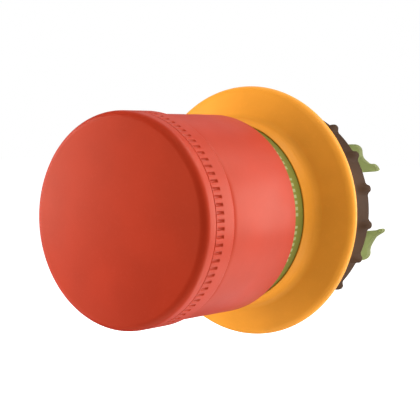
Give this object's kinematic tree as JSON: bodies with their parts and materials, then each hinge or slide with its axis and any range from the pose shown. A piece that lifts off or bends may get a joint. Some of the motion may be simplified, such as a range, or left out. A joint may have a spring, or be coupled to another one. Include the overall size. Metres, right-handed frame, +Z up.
{
  "type": "emergency stop button",
  "caption": "Latching palm-type emergency stop button with a yellow collar and a green indicator ring, clamped in a round panel hole by a lock nut.",
  "frame": {"origin": "on the button's axis, in the plane of the front seal's rear face, which lies on the panel", "axes": "+Y runs along the button's axis from the palm face into the panel, +Z is up and +X is to the right when looking at the palm face"},
  "size_m": [0.0486, 0.0662, 0.0486],
  "materials": {
    "red_cap": "moulded satin red plastic with a fine grain",
    "yellow_collar": "moulded satin orange-yellow plastic",
    "green_sleeve": "moulded olive-green plastic with light tick marks",
    "light_green_clip": "thin flexible light green plastic",
    "dark_plastic": "glass-filled dark brown-grey plastic",
    "grey_plastic": "unpainted grey plastic",
    "black_rubber": "matt black rubber",
    "steel": "zinc-plated steel",
    "spring_steel": "drawn spring wire"
  },
  "bodies": {
    "housing": {"collar": "yellow_collar", "front_seal": "black_rubber", "flange_gasket": "black_rubber", "barrel": "dark_plastic", "indicator_sleeve": "green_sleeve", "latch_cup": "grey_plastic", "latch_cover": "grey_plastic", "cover_screw_1": "steel", "cover_screw_2": "steel", "spring_seat": "steel", "stem_seal": "black_rubber", "rear_bushing": "dark_plastic", "locking_clip": "light_green_clip", "trip_spring": "spring_steel", "latch_spring_1": "spring_steel", "latch_spring_2": "spring_steel", "latch_spring_3": "spring_steel", "latch_spring_4": "spring_steel"},
    "cap": {"cap_face": "red_cap", "cap_skirt": "red_cap", "cap_stem": "grey_plastic", "cap_screw": "steel", "screw_washer": "steel", "stop_ring": "steel", "contact_plunger": "grey_plastic"},
    "latch_1": {"latch_slide_1": "grey_plastic"},
    "latch_2": {"latch_slide_2": "grey_plastic"},
    "latch_3": {"latch_slide_3": "grey_plastic"},
    "latch_4": {"latch_slide_4": "grey_plastic"},
    "washer": {"lock_washer": "steel"},
    "nut": {"lock_nut": "dark_plastic"}
  },
  "joints": [
    {"name": "cap_push", "type": "slide", "parent": "housing", "child": "cap", "axis": [0, 1, 0], "range_m": [0, 0.0045], "deforming": ["trip_spring"]},
    {"name": "latch_1_slide", "type": "slide", "parent": "housing", "child": "latch_1", "axis": [-1, 0, 0], "range_m": [0, 0.00125], "deforming": ["latch_spring_1"]},
    {"name": "latch_2_slide", "type": "slide", "parent": "housing", "child": "latch_2", "axis": [0, 0, -1], "range_m": [0, 0.00125], "deforming": ["latch_spring_2"]},
    {"name": "latch_3_slide", "type": "slide", "parent": "housing", "child": "latch_3", "axis": [1, 0, 0], "range_m": [0, 0.00125], "deforming": ["latch_spring_3"]},
    {"name": "latch_4_slide", "type": "slide", "parent": "housing", "child": "latch_4", "axis": [0, 0, 1], "range_m": [0, 0.00125], "deforming": ["latch_spring_4"]},
    {"name": "washer_slide", "type": "slide", "parent": "housing", "child": "washer", "axis": [0, 1, 0], "range_m": [-0.0012, 0.0056]},
    {"name": "nut_turn", "type": "hinge", "parent": "washer", "child": "nut", "pos_m": [0, 0.0055, 0], "axis": [0, 1, 0], "range_deg": [-240, 1320]}
  ],
  "couplings": [
    {"joint": "latch_1_slide", "follows": "cap_push", "ratio": 0.26667},
    {"joint": "latch_2_slide", "follows": "cap_push", "ratio": 0.26667},
    {"joint": "latch_3_slide", "follows": "cap_push", "ratio": 0.26667},
    {"joint": "latch_4_slide", "follows": "cap_push", "ratio": 0.26667},
    {"joint": "washer_slide", "follows": "nut_turn", "m_per_rad": 0.00023873}
  ]
}
